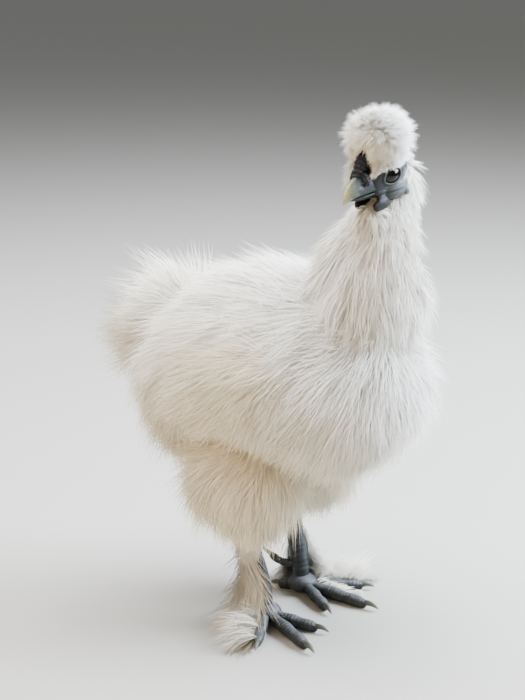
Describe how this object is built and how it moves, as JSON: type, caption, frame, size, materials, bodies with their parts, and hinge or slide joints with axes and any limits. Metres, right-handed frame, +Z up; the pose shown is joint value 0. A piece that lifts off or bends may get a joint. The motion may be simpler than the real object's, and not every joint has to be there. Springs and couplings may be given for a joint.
{
  "type": "silkie chicken model",
  "caption": "Life-size still model of a white silkie hen standing with her head turned, with a crest, fluffy coat, folded wings and feathered feet.",
  "frame": {"origin": "on the floor, at the middle of the bottom of the bird's bounding box", "axes": "+Z up, the bird's body faces -Y, and her right side is -X"},
  "size_m": [0.1744, 0.255, 0.3156],
  "materials": {
    "down": "soft white down",
    "skin": "bare slate skin",
    "lobe": "pale blue-grey skin",
    "comb": "dark mulberry skin",
    "horn": "grey horn",
    "scale": "dark slate scales",
    "eye": "wet black"
  },
  "bodies": {
    "root": {"beak_lower": "horn", "beak_upper": "horn", "claw_1_left": "horn", "claw_1_right": "horn", "claw_2_left": "horn", "claw_2_right": "horn", "claw_3_left": "horn", "claw_3_right": "horn", "claw_4_left": "horn", "claw_4_right": "horn", "claw_5_left": "horn", "claw_5_right": "horn", "comb": "comb", "crest": "down", "earlobe_left": "lobe", "earlobe_right": "lobe", "eye_left": "eye", "eye_right": "eye", "head": "skin", "neck": "down", "shank_left": "scale", "shank_right": "scale", "tail": "down", "thigh_left": "down", "thigh_right": "down", "toe_1_left": "scale", "toe_1_right": "scale", "toe_2_left": "scale", "toe_2_right": "scale", "toe_3_left": "scale", "toe_3_right": "scale", "toe_4_left": "scale", "toe_4_right": "scale", "toe_5_left": "scale", "toe_5_right": "scale", "torso": "down", "wattle_left": "comb", "wattle_right": "comb", "wing_left": "down", "wing_right": "down"}
  },
  "joints": []
}
